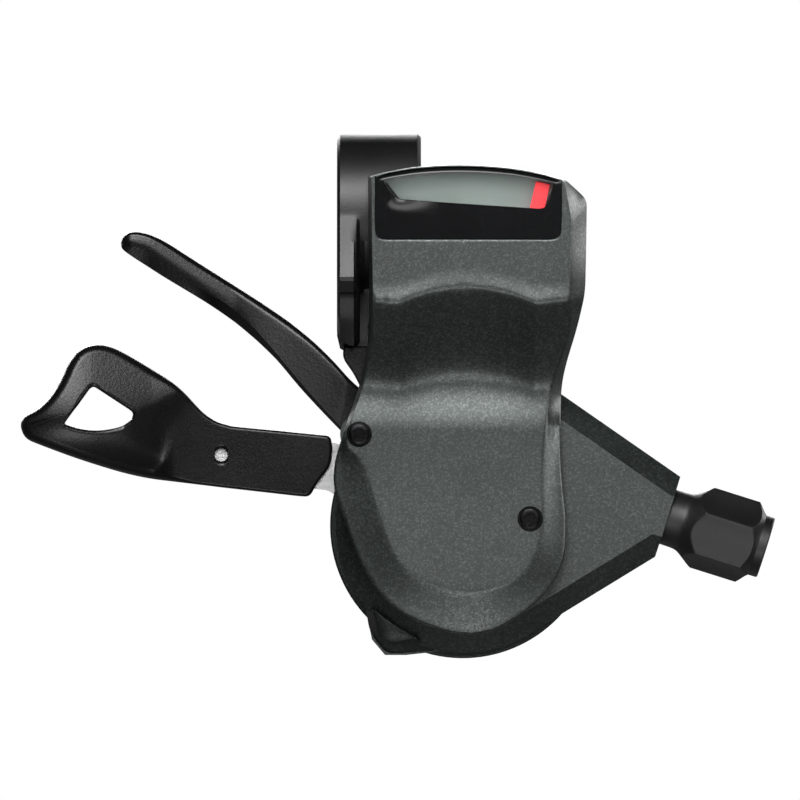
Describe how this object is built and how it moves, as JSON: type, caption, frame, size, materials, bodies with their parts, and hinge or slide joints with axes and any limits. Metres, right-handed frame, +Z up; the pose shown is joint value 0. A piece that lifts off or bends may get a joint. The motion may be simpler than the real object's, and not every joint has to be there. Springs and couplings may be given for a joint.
{
  "type": "trigger gear shifter",
  "caption": "Flat-bar trigger gear shifter: bar clamp, covered ratchet case with gear window, thumb lever, release lever and barrel cable adjuster.",
  "frame": {"origin": "centre of the clamp on the handlebar's axis", "axes": "+X along the bar towards the middle of the bicycle, +Z up the cover, -Y out of the cover's face towards the rider"},
  "size_m": [0.1259, 0.043, 0.0877],
  "materials": {
    "cover_paint": "satin metallic",
    "case_paint": "satin metallic",
    "black_plastic": "fine grain",
    "black_gloss": "polished",
    "clear_window": "clear",
    "dial_grey": "matte",
    "needle_red": "painted tip",
    "band_black": "fine grain",
    "steel": "bright",
    "spring_steel": "drawn",
    "black_steel": "black oxide",
    "brass": "turned",
    "grey_resin": "moulded",
    "aluminium": "turned"
  },
  "bodies": {
    "housing": {"main_cover": "cover_paint", "cover_screws": "black_steel", "indicator_bezel": "black_gloss", "indicator_window": "clear_window", "indicator_dial": "dial_grey", "indicator_base": "black_plastic", "upper_case": "cover_paint", "lower_case": "case_paint", "base_plate": "steel", "case_screws": "black_steel", "cable_cap": "black_plastic", "clamp_band": "band_black", "clamp_bolt": "black_steel", "clamp_nut": "black_steel", "mount_bracket": "steel", "bracket_screws": "black_steel", "main_axle": "steel", "pivot_bush": "brass", "ratchet_spacer": "steel", "lever_spacer": "steel", "release_spacer": "steel", "axle_washer": "steel", "axle_nut": "steel", "spool_spring": "spring_steel", "lever_spring": "spring_steel", "release_spring": "spring_steel", "hold_pawl_pin": "steel", "hold_pawl_spring": "spring_steel", "adjuster_insert": "brass", "housing_seat": "grey_resin"},
    "main_lever": {"main_lever_arm": "steel", "main_lever_pad": "black_plastic", "drive_pawl_pin": "steel", "drive_pawl_spring": "spring_steel"},
    "drive_pawl": {"drive_pawl": "steel"},
    "release_lever": {"release_lever": "black_plastic"},
    "spool": {"cable_spool": "grey_resin", "ratchet_plate": "steel", "indicator_needle": "needle_red", "spool_rivets": "steel"},
    "hold_pawl": {"hold_pawl": "steel"},
    "adjuster": {"adjuster_knob": "black_plastic", "adjuster_bolt": "aluminium"}
  },
  "joints": [
    {"name": "main_lever_push", "type": "hinge", "parent": "housing", "child": "main_lever", "pos_m": [0.014, 0, -0.052], "axis": [0, -1, 0], "range_deg": [0, 32], "stiffness_Nm_per_rad": 0.12, "springref_deg": -20.05},
    {"name": "drive_pawl_lift", "type": "hinge", "parent": "main_lever", "child": "drive_pawl", "pos_m": [-0.00006, 0, -0.04355], "axis": [0, 1, 0], "range_deg": [0, 12], "stiffness_Nm_per_rad": 0.01, "springref_deg": -28.65},
    {"name": "release_lever_push", "type": "hinge", "parent": "housing", "child": "release_lever", "pos_m": [0.014, 0, -0.052], "axis": [0, -1, 0], "range_deg": [-12, 12], "stiffness_Nm_per_rad": 0.4},
    {"name": "spool_wind", "type": "hinge", "parent": "housing", "child": "spool", "pos_m": [0.014, 0, -0.052], "axis": [0, -1, 0], "range_deg": [0, 24], "stiffness_Nm_per_rad": 0.1, "springref_deg": -28.65},
    {"name": "hold_pawl_lift", "type": "hinge", "parent": "housing", "child": "hold_pawl", "pos_m": [0.00472, 0, -0.06576], "axis": [0, 1, 0], "range_deg": [0, 12], "stiffness_Nm_per_rad": 0.01, "springref_deg": -28.65},
    {"name": "adjuster_turn", "type": "hinge", "parent": "housing", "child": "adjuster", "pos_m": [0.0482, 0, -0.0505], "axis": [0.9537, 0, -0.3007], "range_deg": [0, 720]}
  ]
}
